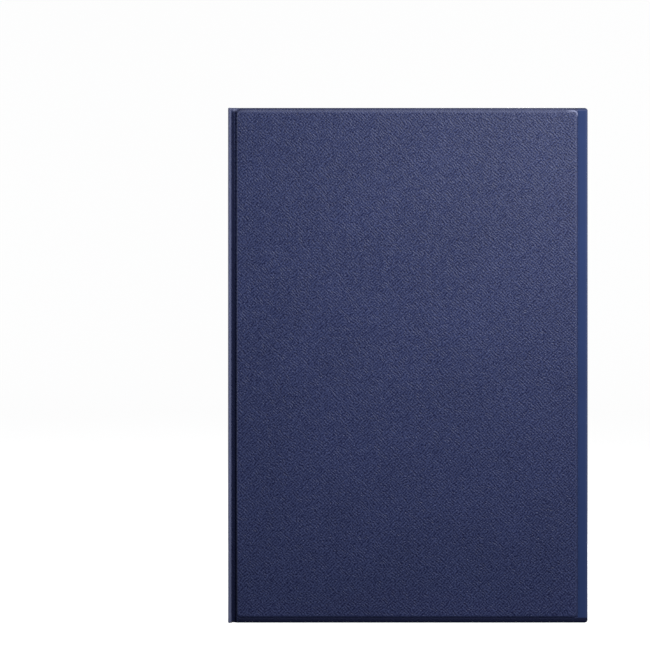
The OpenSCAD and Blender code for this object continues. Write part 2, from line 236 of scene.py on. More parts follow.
def mark(obj, values_at):
    """Stores values_at(x, y, z), each from 0 to 1, on each point of a leather mesh for its material."""
    co = np.empty(len(obj.data.vertices) * 3)
    obj.data.vertices.foreach_get("co", co)
    x, y, z = co.reshape(-1, 3).T
    for name, value in values_at(x, y, z).items():
        attribute = obj.data.attributes.new(name, "FLOAT", "POINT")
        attribute.data.foreach_set("value", np.broadcast_to(value, x.shape).astype(np.float32))


def bell(value, width):
    """1 at zero, falling to almost nothing at twice the width."""
    return np.exp(-((value / width) ** 2))


# ---------------------------------------------------------------- leather sheets
def z_lines(top):
    near = edge_lines(5 * MM)
    return np.concatenate([near, steps((6 * MM, top - 6 * MM, COARSE)), top - near[::-1]])


def round_cover(x, z):
    """Rounds the two outer corners of a cover's grid."""
    x, z = round_corner(x, z, (X1, 0), COVER_CORNER, (1, -1))
    return round_corner(x, z, (X1, Z_TOP), COVER_CORNER, (1, 1))


def painted_corner_highlight(x, z, rect, radius):
    """A painted highlight on the shoulder at a panel's corners."""
    near = np.full(np.shape(x), 1.0)
    for cx in (rect[0], rect[2]):
        for cz in (rect[1], rect[3]):
            near = np.minimum(near, np.hypot(x - cx, z - cz))
    at_corner = smoothstep((1.8 * radius - near) / (0.8 * radius))
    return at_corner * bell(inside_distance(x, z, rect, radius) - 0.35 * MM, 0.3 * MM)


def front_marks(x, y, z):
    """Where the front sheet is smooth and blue, painted with highlights, painted with shade, or without grain."""
    left, low, right, high = FRONT_PANEL
    bead_end = FRONT_AXIS[0] + BEAD_R
    outside = y < FRONT_AXIS[1] + 0.2 * MM
    from_top = Z_TOP - z
    upper = smoothstep((z - 0.1 * Z_TOP) / (0.8 * Z_TOP))
    far_side = smoothstep((x - right + 3 * MM) / (1 * MM))
    border = smoothstep((x - right + 0.1 * MM) / (0.3 * MM)) * (y < 0)
    bead = smoothstep((bead_end + 0.25 * MM - x) / (0.4 * MM)) * outside
    # the groove's shadow is wider towards the foot
    widening = 1.9 * MM * (0.5 - z / Z_TOP)
    groove = smoothstep((left + widening + 0.3 * MM - x) / (1.2 * MM))
    groove = groove * smoothstep((x - bead_end - 0.05 * MM) / (0.4 * MM))
    groove = groove * smoothstep((from_top - 1.4 * MM) / (1.4 * MM))
    # painted shade along the foot border below the panel
    foot = smoothstep((low + 0.1 * MM - z) / (0.4 * MM)) * smoothstep((x - left) / (1 * MM))
    # the head border: painted shade as a dark line along its turned edge, then a painted highlight as a pale line
    near_corner = bell(x - right + 1.5 * MM, 2.5 * MM)
    turned = (0.6 + 0.4 * near_corner) * bell(from_top - 0.5 * MM, 0.35 * MM)
    turned = turned * smoothstep((x - left) / (3 * MM))
    head = 0.45 * bell(from_top - 1.1 * MM, 0.35 * MM) * (x > bead_end)
    inside_by = inside_distance(x, z, FRONT_PANEL, FRONT_CORNER)
    on_shoulder = bell(inside_by - 0.3 * MM, 0.4 * MM) * outside
    # the shadow curls round the panel's upper corner and thins out along its head
    curl = 0.15 + 0.75 * bell(x - left, 3 * MM) * bell(z - high, 3 * MM)
    curl = curl * bell(inside_by + 0.25 * MM, 0.45 * MM) * (x > bead_end) * (z > high - 3 * MM)
    head_side = smoothstep((z - high + 2.5 * MM) / (0.5 * MM))
    # painted highlight along the panel's shoulder towards the free side and the head, stronger higher up
    shoulder_highlight = bell(inside_by - 0.8 * MM, 0.45 * MM) * np.maximum(0.30 * far_side, 0.40 * head_side)
    shoulder_highlight = shoulder_highlight * (0.4 + 0.6 * upper) * outside
    # painted highlight arcs at the panel's upper corners on the free side
    corners = 4.2 * painted_corner_highlight(x, z, FRONT_PANEL, FRONT_CORNER) * outside * upper * far_side
    # a painted highlight at the groove's upper end
    groove_end_highlight = 2.2 * bell(x - left + 0.9 * MM, 1.1 * MM) * bell(from_top - 1.0 * MM, 0.8 * MM)
    # a painted highlight along the rounded free edge
    free_edge_highlight = 0.35 * bell(X1 - x - 0.35 * MM, 0.6 * MM) * outside
    rim = bell(np.minimum(z, from_top), 0.5 * MM)
    # the bead's pale ridge is a painted highlight, paler towards the foot
    wear = np.max([bead * (1.25 - 0.40 * upper), head, shoulder_highlight, corners, groove_end_highlight, free_edge_highlight], axis=0)
    return {"border": border, "wear": wear, "shade": np.max([groove, foot, turned, curl], axis=0),
            "smooth": np.max([on_shoulder, rim, bead], axis=0)}


def front_section():
    """The front sheet's section, from the spine round the bead and along to the free edge.

    It gives points on the outside, the way out of the leather at each, points on the inside, the number
    of points on the spine, and the bead's places along X.
    """
    spine_y = np.linspace(BACK_AXIS[1] - 2 * MM, FRONT_AXIS[1], 24)
    bead = np.radians(np.linspace(180, 8, 15))[1:]
    bead_x = FRONT_AXIS[0] + BEAD_R * np.cos(bead)
    flat_x = steps((bead_x[-1] + 0.1 * MM, FRONT_PANEL[0] + 1.4 * MM, 0.17 * MM),
                   (FRONT_PANEL[0] + 2 * MM, FRONT_PANEL[2] - 2 * MM, COARSE),
                   (FRONT_PANEL[2] - 1.4 * MM, X1 - 1 * MM, FINE))
    flat_x = np.concatenate([flat_x, X1 - edge_lines(0.8 * MM)[::-1]])
    n_spine, n_bead, n_flat = len(spine_y), len(bead), len(flat_x)
    zero, one = np.zeros, np.ones
    behind_bead = FRONT_AXIS[1] + BEAD_R
    base = np.concatenate([
        np.stack([np.full(n_spine, X0), spine_y], 1),
        np.stack([bead_x, FRONT_AXIS[1] - BEAD_R * np.sin(bead)], 1),
        np.stack([flat_x, zero(n_flat)], 1)])
    way = np.concatenate([
        np.stack([-one(n_spine), zero(n_spine)], 1),
        np.stack([np.cos(bead), -np.sin(bead)], 1),
        np.stack([zero(n_flat), -one(n_flat)], 1)])
    inner = np.concatenate([
        np.stack([np.full(n_spine, X0 + TURN), np.maximum(spine_y, behind_bead)], 1),
        np.stack([np.linspace(X0 + TURN, bead_x[-1], n_bead), np.full(n_bead, behind_bead)], 1),
        np.stack([flat_x, zero(n_flat)], 1)])
    return base, way, inner, n_spine, bead_x


def front_relief(x, z, bead_end):
    """How far the flat part's outer face lies in front of Y 0."""
    border = -Y_FRONT - BORDER_DROP
    inside_by = inside_distance(x, z, FRONT_PANEL, FRONT_CORNER)
    raised = shoulder(inside_by)
    height = border + BORDER_DROP * raised - PRESSED * bell(inside_by, PRESSED_WIDTH)
    height = height + UNEVEN * raised * waves(x, z, 34 * MM, 3)
    # the deep groove beside the bead, shallower where the hem is turned at its upper end
    groove = smoothstep((x - bead_end + 0.1 * MM) / (0.6 * MM))
    groove = groove * smoothstep((FRONT_PANEL[0] + 0.1 * MM - x) / (0.9 * MM))
    hem = smoothstep((Z_TOP - z - 1.0 * MM) / (1.4 * MM))
    height = height - GROOVE_DEPTH * groove * (0.2 + 0.8 * hem)
    bead_side = smoothstep((x - bead_end) / (0.35 * MM))
    return height * bead_side + (1 - bead_side) * (-FRONT_AXIS[1] + 0.1 * MM)


def front_leather():
    """Spine, bead, groove and front panel: one sheet, curved round the bead at the front fold."""
    base, way, inner, n_spine, bead_x = front_section()
    x_grid, z_grid = np.meshgrid(base[:, 0], z_lines(Z_TOP), indexing="ij")
    is_flat = (np.arange(len(base)) >= n_spine + len(bead_x))[:, None]
    ends = np.minimum(z_grid, Z_TOP - z_grid)
    from_edge = np.where(is_flat, np.minimum(ends, X1 - x_grid), ends)
    x_new, z_new = round_cover(x_grid, z_grid)
    x_new = np.where(is_flat, x_new, x_grid)
    height = front_relief(x_new, z_new, bead_x[-1])

    # the head and foot borders roll away from the panel; the free edge is only rounded
    roll = edge_drop(ends, ROLL_REACH, ROLL_DEPTH) * smoothstep((x_new - bead_x[-1]) / (1 * MM))
    drop = np.where(is_flat, np.maximum(edge_drop(from_edge), roll), edge_drop(from_edge))
    outer = np.empty(x_grid.shape + (3,))
    outer[..., 0] = np.where(is_flat, x_new, base[:, 0:1] - way[:, 0:1] * drop)
    outer[..., 1] = np.where(is_flat, -height + drop, base[:, 1:2] - way[:, 1:2] * drop)
    outer[..., 2] = z_new
    uneven = 0.05 * MM * waves(z_grid[:n_spine], x_grid[:n_spine], 60 * MM, 9)
    outer[:n_spine, :, 0] += np.abs(uneven)
    inside = np.empty_like(outer)
    inside_y = np.maximum(-height + 0.45 * MM, FRONT_AXIS[1] + 0.4 * MM)
    at_panel = x_new > FRONT_PANEL[0] - 0.3 * MM
    inside_y = np.where(at_panel, Y_FRONT + OVER_BOARD, inside_y)
    inside[..., 0] = np.where(is_flat, x_new, inner[:, 0:1])
    inside[..., 1] = np.where(is_flat, inside_y, inner[:, 1:2])
    inside[..., 2] = z_new
    obj = slab("front_leather", outer, inside)
    mark(obj, front_marks)
    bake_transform(obj)
    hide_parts("front_skin", "spine_skin")
    return obj


def flap_marks(x, y, z):
    # painted shade as a line beside the panel's spine-side edge, and painted highlights at its two corners towards
    # the crease
    edge = bell(inside_distance(x, z, FLAP_PANEL, FLAP_CORNER) - 0.3 * MM, 0.4 * MM) * (y > 0)
    line = bell(x - FLAP_PANEL[0] + 0.25 * MM, 0.4 * MM) * (y > 0)
    corners = painted_corner_highlight(x, z, FLAP_PANEL, FLAP_CORNER) * (y > 0)
    corners = corners * (x > (FLAP_PANEL[0] + FLAP_PANEL[2]) / 2)
    return {"border": 0.0, "wear": corners, "shade": 0.5 * line, "smooth": edge}


def flap_section():
    """The flap sheet's section, round the back fold and along the flap.

    It gives points on the outside, the way out of the leather at each, the number of points before the
    flat part, and the fold's centre.
    """
    turn = np.radians(np.linspace(180, 90, 19))
    centre = np.array([X0 + BEND_R, Y_BACK - BEND_R])
    lead_y = np.linspace(BACK_AXIS[1] - 2.05 * MM, centre[1], 3)[:-1]
    flat_x = steps((centre[0] + 0.2 * MM, centre[0] + 2.6 * MM, 0.15 * MM),
                   (centre[0] + 3 * MM, FLAP_PANEL[2] - 4.9 * MM, COARSE),
                   (FLAP_PANEL[2] - 4.5 * MM, FLAP_PANEL[2] - 0.2 * MM, FINE))
    flat_x = np.append(flat_x, FLAP_PANEL[2] + np.array([-0.1, -0.04, 0]) * MM)
    n_lead, n_flat = len(lead_y), len(flat_x)
    zero, one = np.zeros, np.ones
    base = np.concatenate([
        np.stack([np.full(n_lead, X0), lead_y], 1),
        centre + BEND_R * np.stack([np.cos(turn), np.sin(turn)], 1),
        np.stack([flat_x, np.full(n_flat, Y_BACK)], 1)])
    way = np.concatenate([
        np.stack([-one(n_lead), zero(n_lead)], 1),
        np.stack([np.cos(turn), np.sin(turn)], 1),
        np.stack([zero(n_flat), one(n_flat)], 1)])
    return base, way, n_lead + len(turn), centre


def flap_leather():
    """The rounded back fold and the kickstand flap."""
    base, way, n_fold, centre = flap_section()
    x_grid, z_grid = np.meshgrid(base[:, 0], z_lines(Z_FLAP), indexing="ij")
    from_edge = np.minimum(z_grid, Z_FLAP - z_grid)
    # the spine's end of this sheet meets the spine, which is a little shorter
    shorter = smoothstep((centre[0] - x_grid) / BEND_R) * (Z_FLAP - Z_TOP)
    z_new = z_grid - shorter * smoothstep((z_grid - 0.9 * Z_FLAP) / (0.1 * Z_FLAP))
    inside_by = inside_distance(x_grid, z_grid, FLAP_PANEL, FLAP_CORNER)
    raised = shoulder(inside_by)
    # the fold is level with the spine at one end and a step below the panel at the other
    on_fold = smoothstep((x_grid - X0) / (0.6 * BEND_R))
    sunk = (BORDER_DROP * (1 - raised) + PRESSED * bell(inside_by, PRESSED_WIDTH)) * on_fold
    sunk = sunk + edge_drop(from_edge, ROLL_REACH, ROLL_DEPTH)
    sunk = sunk - UNEVEN * raised * waves(x_grid, z_grid, 30 * MM, 5) * smoothstep(from_edge / (4 * MM))
    outer = np.empty(x_grid.shape + (3,))
    outer[..., 0] = base[:, 0:1] - way[:, 0:1] * sunk
    outer[..., 1] = base[:, 1:2] - way[:, 1:2] * sunk
    outer[..., 2] = z_new
    inside = np.empty_like(outer)
    depth = np.where(np.arange(len(base)) >= n_fold, OVER_BOARD, TURN)[:, None]
    inside[..., 0] = base[:, 0:1] - way[:, 0:1] * depth
    inside[..., 1] = base[:, 1:2] - way[:, 1:2] * depth
    inside[..., 2] = z_new
    obj = slab("flap_leather", outer, inside)
    mark(obj, flap_marks)
    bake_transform(obj)
    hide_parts("flap_skin")
    return obj


# each wrinkle in the crease: its place across it, its depth in millimetres and its sway
WRINKLES = ((0.12, 0.11, 1.0), (0.39, 0.13, 2.1), (0.54, 0.10, 3.3))


def crease_height(x, z):
    """The soft crease, from the flap down to a deep line. Its long wrinkles turn in at their ends."""
    width = MAIN_PANEL[0] - FLAP_PANEL[2]
    end = np.minimum(z, Z_TOP - z)
    bend = 4.0 * MM * smoothstep((9 * MM - end) / (9 * MM)) ** 2
    across = np.clip((x + bend - FLAP_PANEL[2]) / width, 0, 1.4)
    slope = np.minimum(across / 0.66, 1 - 0.25 * np.clip(0.95 - across, 0, 0.29) ** 2)
    height = Y_BACK - 0.22 * MM - 1.15 * MM * slope
    for place, depth, sway in WRINKLES:
        line = FLAP_PANEL[2] + place * width - bend + 0.15 * MM * np.sin(z / (31 * MM) + sway * 2)
        strength = depth * MM * (0.8 + 0.2 * np.sin(z / (17 * MM) + sway * 5))
        height = height - strength * bell(x - line, 0.45 * MM)
        height = height + 0.7 * strength * bell(x - line - 1.0 * MM, 0.6 * MM)
    return height - 0.25 * MM * bell(x - MAIN_PANEL[0] + 0.6 * MM, 0.5 * MM)


def back_marks(x, y, z):
    # painted shade as a deep line beside the main panel's edge at the crease, and a painted highlight over the
    # crease
    border = smoothstep((x - MAIN_PANEL[2] + 0.1 * MM) / (0.3 * MM))
    crease = smoothstep((MAIN_PANEL[0] - 1.5 * MM - x) / (2.5 * MM))
    line = bell(x - MAIN_PANEL[0] + 0.55 * MM, 0.55 * MM)
    edge = bell(inside_distance(x, z, MAIN_PANEL, MAIN_CORNER) - 0.3 * MM, 0.4 * MM)
    return {"border": border, "wear": 0.20 * crease, "shade": line,
            "smooth": np.maximum(edge, 0.6 * crease)}


def back_lines():
    """The back sheet's grid lines along X and Z, close together round the camera window."""
    (x0, x1), (z0, z1) = camera_window()
    margin = 1.6 * MM
    lines_x = steps((FLAP_PANEL[2] - 0.1 * MM, MAIN_PANEL[0] + 1.6 * MM, 0.22 * MM),
                    (MAIN_PANEL[0] + 2 * MM, x0 - margin, COARSE),
                    (x0 - margin + 0.3 * MM, x1 + margin, 0.4 * MM),
                    (x1 + 2 * margin, MAIN_PANEL[2] - 1.6 * MM, 2 * MM),
                    (MAIN_PANEL[2] - 1.3 * MM, X1 - 1 * MM, FINE))
    lines_x = np.concatenate([lines_x, X1 - edge_lines(0.8 * MM)[::-1]])
    near = edge_lines(6 * MM)
    lines_z = np.concatenate([near, steps((7 * MM, z0 - 2 * margin, 3.5 * MM)),
                              steps((z0 - margin, z1 + margin, 0.4 * MM)), Z_TOP - near[::-1]])
    return lines_x, lines_z


def back_relief(x, z):
    """Y of the back sheet's outer face, before its edges are rounded."""
    inside_by = inside_distance(x, z, MAIN_PANEL, MAIN_CORNER)
    raised = shoulder(inside_by)
    border = Y_BACK - BORDER_DROP - PRESSED * bell(inside_by, PRESSED_WIDTH)
    height = border + BORDER_DROP * raised + UNEVEN * raised * waves(x, z, 34 * MM, 7)
    in_crease = smoothstep((MAIN_PANEL[0] + 0.15 * MM - x) / (0.5 * MM))
    height = height * (1 - in_crease) + crease_height(x, z) * in_crease
    (x0, x1), (z0, z1) = camera_window()
    past_window = -inside_distance(x, z, (x0, z0, x1, z1), WINDOW_CORNER)
    return height - edge_drop(past_window, 0.5 * MM, 0.5 * MM)


def back_leather():
    """The soft crease and the main back panel, with the camera window."""
    board_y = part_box("back_board")[0][1]
    x_grid, z_grid = np.meshgrid(*back_lines(), indexing="ij")
    x_new, z_new = round_cover(x_grid, z_grid)
    ends = np.minimum(z_grid, Z_TOP - z_grid)
    drop = edge_drop(np.minimum(ends, X1 - x_grid))
    height = back_relief(x_new, z_new) - np.maximum(drop, edge_drop(ends, ROLL_REACH, ROLL_DEPTH))
    outer = np.stack([x_new, height, z_new], -1)
    inside = np.stack([x_new, np.full_like(x_new, board_y), z_new], -1)
    inside[..., 1] = np.minimum(inside[..., 1], height - 0.15 * MM)
    obj = slab("back_leather", outer, inside)
    cut_window(obj)
    mark(obj, back_marks)
    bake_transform(obj)
    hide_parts("back_skin")
    return obj


def camera_window():
    """The camera window's extent along X and Z."""
    mount = next(m for m in frame["record"]["mounts"] if m["name"] == "camera_window")
    x, _, z = mount["pos_m"]
    half_wide, half_tall = 6 * MM, 13 * MM
    return (x - half_wide, x + half_wide), (z - half_tall, z + half_tall)


def cut_window(obj):
    """Cuts the camera window through a sheet."""
    (x0, x1), (z0, z1) = camera_window()
    outline = rounded_ring(x0, x1, z0, z1, WINDOW_CORNER, 10)
    n = len(outline)
    verts = [(x, 0, z) for x, z in outline] + [(x, 2 * Y_BACK, z) for x, z in outline]
    faces = [list(range(n)), list(range(2 * n - 1, n - 1, -1))]
    faces += [[i, i + n, (i + 1) % n + n, (i + 1) % n] for i in range(n)]
    cutter = mesh_object("cutter", verts, faces, smooth=False)
    face_outwards(cutter)
    boolean = obj.modifiers.new("window", "BOOLEAN")
    boolean.operation = "DIFFERENCE"
    boolean.object = cutter
    boolean.solver = "EXACT"
    applied = bpy.data.meshes.new_from_object(obj.evaluated_get(bpy.context.evaluated_depsgraph_get()))
    obj.modifiers.clear()
    obj.data = applied
    bpy.data.objects.remove(cutter)


# ---------------------------------------------------------------- materials
GRAIN_PERIOD = 1.22 * MM  # from one diagonal stroke to the next
GRAIN_DEPTH = 0.11 * MM
PEBBLE = 0.85 * MM
# the leather's colours, with a painted highlight colour and a painted shade colour
DEEP = (0.0030, 0.0046, 0.0268)  # between the strokes
CREST = (0.0325, 0.0418, 0.1020)  # on top of them
BORDER = (0.0112, 0.0226, 0.0735)
PAINTED_HIGHLIGHT_COLOUR = (0.0600, 0.0680, 0.1260)
PAINTED_SHADE_COLOUR = (0.0038, 0.0058, 0.0228)


class Nodes:
    """Short calls for building a material's nodes."""

    def __init__(self, name):
        self.material = bpy.data.materials.new(name)
        self.material.use_nodes = True
        self.tree = self.material.node_tree
        self.shader = self.tree.nodes["Principled BSDF"]

    def add(self, kind, **values):
        node = self.tree.nodes.new(kind)
        for key, value in values.items():
            setattr(node, key, value)
        return node

    def link(self, output, socket):
        self.tree.links.new(output, socket)

    def coordinates(self):
        return self.add("ShaderNodeTexCoord").outputs["Object"]

    def mapping(self, vector, rotation=(0, 0, 0), scale=(1, 1, 1)):
        node = self.add("ShaderNodeMapping")
        self.link(vector, node.inputs["Vector"])
        node.inputs["Rotation"].default_value = [math.radians(a) for a in rotation]
        node.inputs["Scale"].default_value = scale
        return node.outputs["Vector"]

    def noise(self, vector, size, detail=2.0, roughness=0.5):
        node = self.add("ShaderNodeTexNoise")
        self.link(vector, node.inputs["Vector"])
        node.inputs["Scale"].default_value = 1 / size
        node.inputs["Detail"].default_value = detail
        node.inputs["Roughness"].default_value = roughness
        return node.outputs["Fac"]

    def cells(self, vector, size, feature="F1", smooth=0.0):
        node = self.add("ShaderNodeTexVoronoi", feature=feature)
        self.link(vector, node.inputs["Vector"])
        node.inputs["Scale"].default_value = 1 / size
        if feature == "SMOOTH_F1":
            node.inputs["Smoothness"].default_value = smooth
        return node.outputs["Distance"]

    def math(self, operation, a, b=None):
        node = self.add("ShaderNodeMath", operation=operation)
        for socket, value in zip(node.inputs, (a, b)):
            if value is None:
                continue
            if isinstance(value, (int, float)):
                socket.default_value = value
            else:
                self.link(value, socket)
        return node.outputs[0]

    def ramp(self, value, low, high, to_low=0.0, to_high=1.0):
        node = self.add("ShaderNodeMapRange")
        self.link(value, node.inputs["Value"])
        limits = {"From Min": low, "From Max": high, "To Min": to_low, "To Max": to_high}
        for socket, number in limits.items():
            node.inputs[socket].default_value = number
        return node.outputs["Result"]

    def mix(self, factor, a, b, clamp=True):
        node = self.add("ShaderNodeMix", data_type="RGBA", clamp_factor=clamp)
        self.link(factor, node.inputs["Factor"])
        colour_a, colour_b = [i for i in node.inputs if i.type == "RGBA"]
        for socket, value in ((colour_a, a), (colour_b, b)):
            if isinstance(value, tuple):
                socket.default_value = (*value, 1)
            else:
                self.link(value, socket)
        return next(o for o in node.outputs if o.type == "RGBA")

    def bump(self, height, distance, strength=1.0, normal=None):
        node = self.add("ShaderNodeBump")
        self.link(height, node.inputs["Height"])
        node.inputs["Distance"].default_value = distance
        node.inputs["Strength"].default_value = strength
        if normal is not None:
            self.link(normal, node.inputs["Normal"])
        return node.outputs["Normal"]

    def separate(self, vector):
        node = self.add("ShaderNodeSeparateXYZ")
        self.link(vector, node.inputs[0])
        return node.outputs

    def shaken(self, vector, size, amount):
        """The vector pushed about by noise of the given size."""
        noise = self.add("ShaderNodeTexNoise")
        self.link(vector, noise.inputs["Vector"])
        noise.inputs["Scale"].default_value = 1 / size
        noise.inputs["Detail"].default_value = 1.0
        move = self.add("ShaderNodeVectorMath", operation="MULTIPLY_ADD")
        self.link(noise.outputs["Color"], move.inputs[0])
        move.inputs[1].default_value = (2 * amount,) * 3
        self.link(vector, move.inputs[2])
        return move.outputs[0]

    def wave(self, value, period):
        """A sine of a value measured along a diagonal, so the value grows by root 2 a step."""
        turned = self.math("MULTIPLY", value, 2 * math.pi / (period * math.sqrt(2)))
        return self.math("SINE", turned)

    def scale(self, vector, factor):
        node = self.add("ShaderNodeVectorMath", operation="SCALE")
        self.link(vector, node.inputs[0])
        self.link(factor, node.inputs["Scale"])
        return node.outputs[0]

    def attribute(self, name):
        node = self.add("ShaderNodeAttribute", attribute_name=name, attribute_type="GEOMETRY")
        return node.outputs["Fac"]

    def finish(self, **values):
        for key, value in values.items():
            socket = self.shader.inputs[key.replace("_", " ")]
            if isinstance(value, (int, float)):
                socket.default_value = value
            elif isinstance(value, tuple):
                socket.default_value = (*value, 1) if len(value) == 3 and socket.type == "RGBA" else value
            else:
                self.link(value, socket)
        return self.material


def leather_material():
    """Navy cross-grained leather: short diagonal strokes both ways, smoother and bluer on the border, with painted
    highlights and painted shade from each point's marks.
    """
    n = Nodes("navy_leather")
    where = n.coordinates()
    x, y, z = n.separate(n.shaken(n.shaken(where, 3.4 * MM, 0.8 * MM), 1.3 * MM, 0.42 * MM))
    across = n.math("ADD", x, y)
    rising = n.wave(n.math("ADD", across, z), GRAIN_PERIOD)
    falling = n.wave(n.math("SUBTRACT", across, z), GRAIN_PERIOD)
    which = n.ramp(n.noise(where, 3.0 * MM, 1.0), 0.38, 0.62, 0.18, 0.82)
    hatch = n.math("ADD", n.math("MULTIPLY", rising, which),
                   n.math("MULTIPLY", falling, n.math("SUBTRACT", 1.0, which)))
    pebble = n.ramp(n.cells(where, PEBBLE), 0.1, 0.75, 1.0, -1.0)
    breaks = n.ramp(n.noise(where, 0.75 * MM, 1.0), 0.3, 0.7, -1.0, 1.0)
    grain = n.math("ADD", n.math("MULTIPLY", hatch, 0.58), n.math("MULTIPLY", pebble, 0.38))
    grain = n.math("ADD", grain, n.math("MULTIPLY", breaks, 0.34))
    border, wear, shade = n.attribute("border"), n.attribute("wear"), n.attribute("shade")
    on_border = n.ramp(border, 0, 1, 1.0, 0.15)
    on_edges = n.ramp(n.attribute("smooth"), 0, 1, 1.0, 0.35)
    smoother = n.math("MULTIPLY", on_border, on_edges)
    smoother = n.math("MULTIPLY", smoother, n.ramp(wear, 0, 1, 1.0, 0.4))
    grain = n.math("MULTIPLY", grain, smoother)
    fine = n.noise(where, 0.3 * MM, 2.0)
    normal = n.bump(n.math("ADD", grain, n.math("MULTIPLY", fine, 0.2)), GRAIN_DEPTH, 1.0)
    patches = n.ramp(n.noise(where, 26 * MM, 3.0), 0.3, 0.7, 0.94, 1.06)
    colour = n.mix(border, n.mix(n.ramp(grain, -0.9, 0.9), DEEP, CREST), BORDER)
    # the painted highlight is more than 1 where it is painted palest
    colour = n.mix(wear, colour, PAINTED_HIGHLIGHT_COLOUR, clamp=False)
    # painted shade: the shade mark darkens the leather over the groove, the foot border and edge lines
    colour = n.mix(shade, n.scale(colour, patches), PAINTED_SHADE_COLOUR)
    rough = n.ramp(grain, -1, 1, 0.50, 0.41)
    rough = n.math("ADD", rough, n.math("MULTIPLY", n.math("MAXIMUM", border, shade), 0.35))
    return n.finish(Base_Color=colour, Roughness=rough, Normal=normal, Specular_IOR_Level=0.24)


def fabric_material(name, dark, light):
    """Brushed microfibre: soft pile, faint brush marks."""
    n = Nodes(name)
    where = n.coordinates()
    fuzz = n.noise(where, 0.35 * MM, 3.0, 0.65)
    nap = n.noise(n.mapping(where, scale=(1, 1, 0.12)), 5 * MM, 2.0)
    tone = n.math("ADD", n.math("MULTIPLY", fuzz, 0.7), n.math("MULTIPLY", nap, 0.3))
    colour = n.mix(n.ramp(tone, 0.3, 0.7), dark, light)
    normal = n.bump(fuzz, 0.09 * MM, 0.8)
    return n.finish(Base_Color=colour, Roughness=0.92, Normal=normal,
                    Sheen_Weight=0.18, Sheen_Roughness=0.45)


def plastic_material(name, colour, rough, grain, depth):
    """Moulded plastic with a fine spark-eroded texture and a little mottling."""
    n = Nodes(name)
    where = n.coordinates()
    speck = n.cells(where, grain, "SMOOTH_F1", 0.6)
    cloud = n.noise(where, 18 * MM, 3.0)
    light = tuple(min(1.0, c * 1.18 + 0.003) for c in colour)
    shade = n.mix(n.ramp(cloud, 0.3, 0.7), colour, light)
    roughness = n.ramp(n.noise(where, 3 * MM, 3.0), 0.3, 0.7, rough - 0.05, rough + 0.06)
    normal = n.bump(speck, depth, 0.8)
    return n.finish(Base_Color=shade, Roughness=roughness, Normal=normal)


def metal_material(name, colour, rough, along="X"):
    """Brushed metal: fine streaks along one direction."""
    n = Nodes(name)
    scale = {"X": (0.03, 1, 1), "Z": (1, 1, 0.03)}[along]
    where = n.coordinates()
    streak = n.noise(n.mapping(where, scale=scale), 0.25 * MM, 3.0, 0.6)
    dark = tuple(c * 0.82 for c in colour)
    roughness = n.ramp(streak, 0.3, 0.7, rough - 0.07, rough + 0.1)
    normal = n.bump(streak, 0.006 * MM, 0.6)
    brushed = n.mix(streak, dark, colour)
    return n.finish(Base_Color=brushed, Metallic=1.0, Roughness=roughness, Normal=normal)


def board_material():
    """Grey fibreboard with flecks."""
    n = Nodes("fibreboard")
    where = n.coordinates()
    fibre = n.noise(n.mapping(where, scale=(1, 1, 0.25)), 0.8 * MM, 4.0, 0.7)
    colour = n.mix(n.ramp(fibre, 0.35, 0.65), (0.10, 0.095, 0.085), (0.20, 0.19, 0.17))
    return n.finish(Base_Color=colour, Roughness=0.88, Normal=n.bump(fibre, 0.05 * MM))


def board_circuit_material():
    """Green solder mask over faint copper tracks."""
    n = Nodes("circuit_board")
    where = n.coordinates()
    tracks = n.cells(n.mapping(where, scale=(1, 1, 0.45)), 1.6 * MM, "DISTANCE_TO_EDGE")
    track = n.ramp(tracks, 0.05, 0.09, 1.0, 0.0)
    speckle = n.noise(where, 0.7 * MM, 3.0)
    mask = n.mix(speckle, (0.004, 0.035, 0.016), (0.008, 0.055, 0.026))
    colour = n.mix(track, mask, (0.018, 0.11, 0.045))
    return n.finish(Base_Color=colour, Roughness=0.35, Normal=n.bump(track, 0.03 * MM), Coat_Weight=0.3)


def foil_material():
    """Crinkled aluminium laminate round the battery."""
    n = Nodes("cell_foil")
    where = n.coordinates()
    crinkle = n.noise(n.mapping(where, scale=(1, 1, 0.4)), 3.0 * MM, 5.0, 0.6)
    fine = n.noise(where, 0.5 * MM, 2.0)
    colour = n.mix(crinkle, (0.42, 0.43, 0.45), (0.62, 0.63, 0.65))
    normal = n.bump(fine, 0.02 * MM, 0.5, n.bump(crinkle, 0.25 * MM, 0.6))
    roughness = n.ramp(fine, 0.3, 0.7, 0.34, 0.46)
    return n.finish(Base_Color=colour, Metallic=0.9, Roughness=roughness, Normal=normal)


def clear_material(name, colour, transmission, rough=0.25):
    """Film or light pipe: mostly clear, slightly cloudy."""
    n = Nodes(name)
    where = n.coordinates()
    cloud = n.noise(where, 2.5 * MM, 3.0)
    light = tuple(min(1.0, c * 1.15) for c in colour)
    roughness = n.ramp(n.noise(where, 0.6 * MM, 2.0), 0.3, 0.7, rough - 0.06, rough + 0.08)
    return n.finish(Base_Color=n.mix(cloud, colour, light), Roughness=roughness,
                    Transmission_Weight=transmission, Normal=n.bump(cloud, 0.03 * MM, 0.5))


